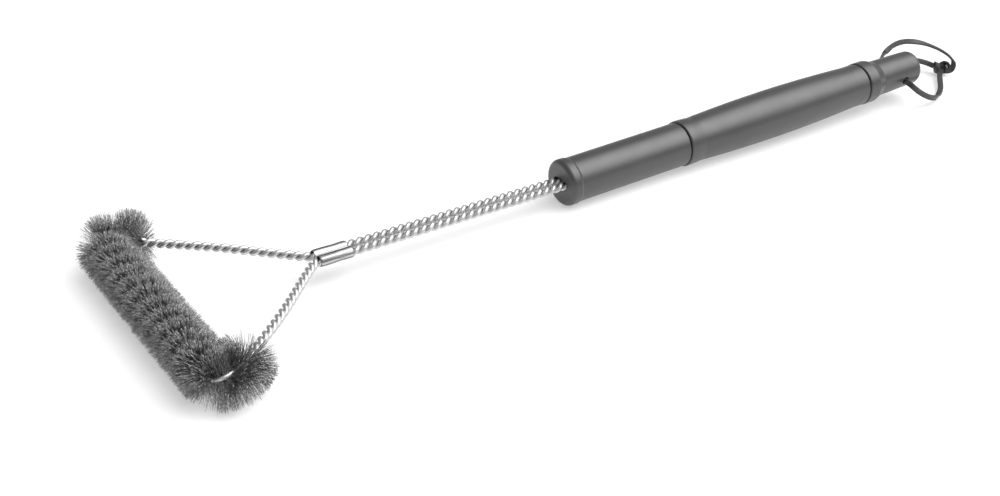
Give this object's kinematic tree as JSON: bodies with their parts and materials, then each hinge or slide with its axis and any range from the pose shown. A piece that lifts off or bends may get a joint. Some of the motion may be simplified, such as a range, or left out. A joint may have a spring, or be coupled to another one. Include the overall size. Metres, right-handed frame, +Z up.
{
  "type": "grill cleaning brush",
  "caption": "Long-handled grill brush: a triangle of twisted wire with a bristle sleeve across its end, on a round tapered handle with a leather hanging thong.",
  "frame": {"origin": "middle of the brush's footprint, on the surface it rests on, with the thong left out", "axes": "+X from the wire head to the tail of the handle, +Y towards one arm of the head, +Z up"},
  "size_m": [0.4987, 0.1476, 0.0274],
  "materials": {
    "core_wire": "bright drawn wire",
    "ferrule": "bright, crimped",
    "bristles": "fine cut filaments",
    "handle": "satin moulded",
    "plug": "as moulded",
    "thong": "waxed flat lace"
  },
  "bodies": {
    "root": {"core_wire_upper": "core_wire", "core_wire_lower": "core_wire", "crimp_ferrule": "ferrule", "bristles_bar": "bristles", "bristles_corner_near": "bristles", "bristles_corner_far": "bristles", "bristles_arm_near": "bristles", "bristles_arm_far": "bristles", "front_sleeve": "handle", "grip_sleeve": "handle", "end_cap": "handle", "anchor_plug": "plug", "thong_near_run": "thong", "thong_far_run": "thong", "thong_knot": "thong", "thong_tail": "thong"}
  },
  "joints": []
}
